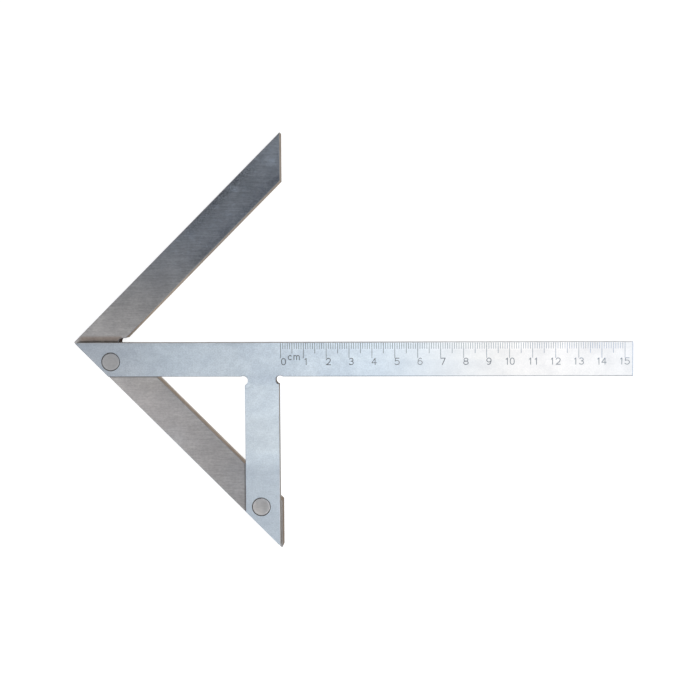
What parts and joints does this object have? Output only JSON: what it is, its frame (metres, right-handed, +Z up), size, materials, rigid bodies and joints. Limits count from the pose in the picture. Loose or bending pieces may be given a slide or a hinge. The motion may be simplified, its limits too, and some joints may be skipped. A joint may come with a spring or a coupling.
{
  "type": "centre square",
  "caption": "Flat steel centre square: right-angled V base with a riveted rule blade and strut, whose graduated edge bisects the V to mark centre lines on round bar ends.",
  "frame": {"origin": "centre of the bounding box's bottom, with the tool lying flat on the V base's underside", "axes": "+X along the blade away from the V's apex, +Y from the bisecting edge to the leg that carries no strut, +Z up out of the graduated face"},
  "size_m": [0.2458, 0.1838, 0.008],
  "materials": {
    "bare_steel": "fine ground, bare, grain parallel to the blade",
    "plated_steel": "matt zinc plating, faintly blue and cloudy",
    "rivet_steel": "bare, ground flush"
  },
  "bodies": {
    "root": {"v_base": "bare_steel", "rule_blade": "plated_steel", "rivet_apex": "rivet_steel", "rivet_strut": "rivet_steel"}
  },
  "joints": []
}
